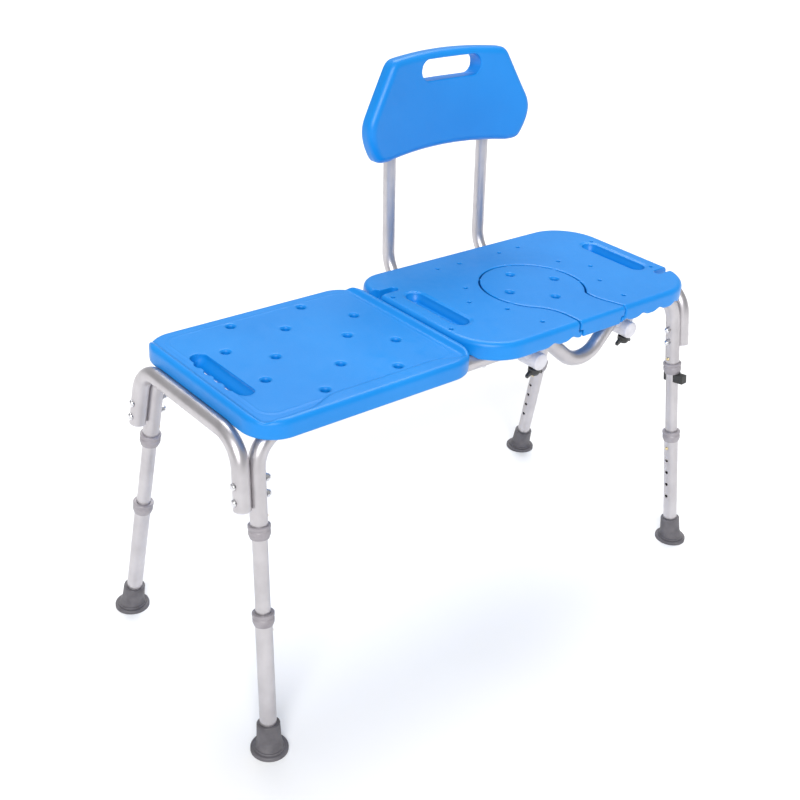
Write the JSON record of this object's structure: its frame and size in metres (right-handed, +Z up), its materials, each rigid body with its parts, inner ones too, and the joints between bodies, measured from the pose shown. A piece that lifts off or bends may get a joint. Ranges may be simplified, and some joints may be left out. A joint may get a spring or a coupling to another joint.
{
  "type": "bath transfer bench",
  "caption": "Height-adjustable bath transfer bench with two moulded seat panels, a lift-out commode insert and a removable backrest on an aluminium frame.",
  "frame": {"origin": "on the floor, at the middle of the bounding box", "axes": "+X along the bench to the commode end, -Y the side the sitter faces, +Z up"},
  "size_m": [0.999, 0.5039, 0.8722],
  "materials": {
    "panel_blue": "fine grained blow-moulded polyethylene, soft sheen",
    "frame_aluminium": "satin anodised tube",
    "bolt_steel": "bright plated",
    "spring_steel": "spring strip",
    "collar_grey": "moulded",
    "foot_rubber": "moulded rubber",
    "button_brass": "domed, polished",
    "pale_plastic": "moulded",
    "black_plastic": "moulded"
  },
  "bodies": {
    "root": {"front_rail": "frame_aluminium", "rear_rail": "frame_aluminium", "end_frame_left": "frame_aluminium", "end_frame_right": "frame_aluminium", "frame_bolts": "bolt_steel", "acorn_nuts": "bolt_steel", "upper_collars": "collar_grey", "button_springs": "spring_steel", "leg_clip": "black_plastic", "seat_panel_left": "panel_blue", "seat_panel_right": "panel_blue", "panel_screws": "bolt_steel", "socket_screws": "bolt_steel", "socket_front_left": "pale_plastic", "socket_front_right": "pale_plastic", "socket_rear_left": "pale_plastic", "socket_rear_right": "pale_plastic", "cross_tube_left": "frame_aluminium", "cross_tube_right": "frame_aluminium", "end_frame_plugs": "pale_plastic", "inner_tube_front_left": "frame_aluminium", "inner_tube_front_right": "frame_aluminium", "inner_tube_rear_left": "frame_aluminium", "inner_tube_rear_right": "frame_aluminium"},
    "insert": {"commode_insert": "panel_blue"},
    "backrest": {"backrest_panel": "panel_blue", "backrest_tube_left": "frame_aluminium", "backrest_tube_right": "frame_aluminium", "backrest_front_plugs": "pale_plastic", "backrest_top_plugs": "pale_plastic", "backrest_screws": "bolt_steel"},
    "knob_left": {"clamp_knob_left": "black_plastic", "knob_stud_left": "bolt_steel"},
    "knob_right": {"clamp_knob_right": "black_plastic", "knob_stud_right": "bolt_steel"},
    "leg_front_left": {"lower_tube_front_left": "frame_aluminium", "lower_collar_front_left": "collar_grey", "foot_front_left": "foot_rubber", "foot_washer_front_left": "bolt_steel"},
    "leg_front_right": {"lower_tube_front_right": "frame_aluminium", "lower_collar_front_right": "collar_grey", "foot_front_right": "foot_rubber", "foot_washer_front_right": "bolt_steel"},
    "leg_rear_left": {"lower_tube_rear_left": "frame_aluminium", "lower_collar_rear_left": "collar_grey", "foot_rear_left": "foot_rubber", "foot_washer_rear_left": "bolt_steel"},
    "leg_rear_right": {"lower_tube_rear_right": "frame_aluminium", "lower_collar_rear_right": "collar_grey", "foot_rear_right": "foot_rubber", "foot_washer_rear_right": "bolt_steel"},
    "height_button_front_left": {"height_button_front_left": "button_brass"},
    "height_button_front_right": {"height_button_front_right": "button_brass"},
    "height_button_rear_left": {"height_button_rear_left": "button_brass"},
    "height_button_rear_right": {"height_button_rear_right": "button_brass"},
    "frame_button_front_left": {"frame_button_front_left": "button_brass"},
    "frame_button_front_right": {"frame_button_front_right": "button_brass"},
    "frame_button_rear_left": {"frame_button_rear_left": "button_brass"},
    "frame_button_rear_right": {"frame_button_rear_right": "button_brass"}
  },
  "joints": [
    {"name": "height_front_left", "type": "slide", "parent": "root", "child": "leg_front_left", "axis": [0.0499, 0.1576, 0.9862], "range_m": [0, 0.1016], "deforming": ["height_button_front_left"]},
    {"name": "height_front_right", "type": "slide", "parent": "root", "child": "leg_front_right", "axis": [-0.0499, 0.1576, 0.9862], "range_m": [0, 0.1016], "deforming": ["height_button_front_right"]},
    {"name": "height_rear_left", "type": "slide", "parent": "root", "child": "leg_rear_left", "axis": [0.0499, -0.1576, 0.9862], "range_m": [0, 0.1016], "deforming": ["height_button_rear_left"]},
    {"name": "height_rear_right", "type": "slide", "parent": "root", "child": "leg_rear_right", "axis": [-0.0499, -0.1576, 0.9862], "range_m": [0, 0.1016], "deforming": ["height_button_rear_right"]},
    {"name": "height_press_front_left", "type": "slide", "parent": "root", "child": "height_button_front_left", "axis": [-0.9988, 0.0079, 0.0492], "range_m": [0, 0.0045], "stiffness_N_per_m": 900, "springref_m": -0.004, "deforming": ["button_springs"]},
    {"name": "height_press_front_right", "type": "slide", "parent": "root", "child": "height_button_front_right", "axis": [0.9988, 0.0079, 0.0492], "range_m": [0, 0.0045], "stiffness_N_per_m": 900, "springref_m": -0.004, "deforming": ["button_springs"]},
    {"name": "height_press_rear_left", "type": "slide", "parent": "root", "child": "height_button_rear_left", "axis": [-0.9988, -0.0079, 0.0492], "range_m": [0, 0.0045], "stiffness_N_per_m": 900, "springref_m": -0.004, "deforming": ["button_springs"]},
    {"name": "height_press_rear_right", "type": "slide", "parent": "root", "child": "height_button_rear_right", "axis": [0.9988, -0.0079, 0.0492], "range_m": [0, 0.0045], "stiffness_N_per_m": 900, "springref_m": -0.004, "deforming": ["button_springs"]},
    {"name": "frame_press_front_left", "type": "slide", "parent": "root", "child": "frame_button_front_left", "axis": [-0.9988, 0.0079, 0.0492], "range_m": [0, 0.0045], "stiffness_N_per_m": 900, "springref_m": -0.004, "deforming": ["button_springs"]},
    {"name": "frame_press_front_right", "type": "slide", "parent": "root", "child": "frame_button_front_right", "axis": [0.9988, 0.0079, 0.0492], "range_m": [0, 0.0045], "stiffness_N_per_m": 900, "springref_m": -0.004, "deforming": ["button_springs"]},
    {"name": "frame_press_rear_left", "type": "slide", "parent": "root", "child": "frame_button_rear_left", "axis": [-0.9988, -0.0079, 0.0492], "range_m": [0, 0.0045], "stiffness_N_per_m": 900, "springref_m": -0.004, "deforming": ["button_springs"]},
    {"name": "frame_press_rear_right", "type": "slide", "parent": "root", "child": "frame_button_rear_right", "axis": [0.9988, -0.0079, 0.0492], "range_m": [0, 0.0045], "stiffness_N_per_m": 900, "springref_m": -0.004, "deforming": ["button_springs"]},
    {"name": "insert_lift", "type": "slide", "parent": "root", "child": "insert", "axis": [0, 0, 1], "range_m": [0, 0.12]},
    {"name": "backrest_slide", "type": "slide", "parent": "root", "child": "backrest", "axis": [0, 1, 0], "range_m": [0, 0.33]},
    {"name": "knob_turn_left", "type": "hinge", "parent": "root", "child": "knob_left", "pos_m": [0.084, -0.15965, 0.447], "axis": [0, 0, 1], "continuous": true},
    {"name": "knob_turn_right", "type": "hinge", "parent": "root", "child": "knob_right", "pos_m": [0.304, -0.15965, 0.447], "axis": [0, 0, 1], "continuous": true}
  ]
}
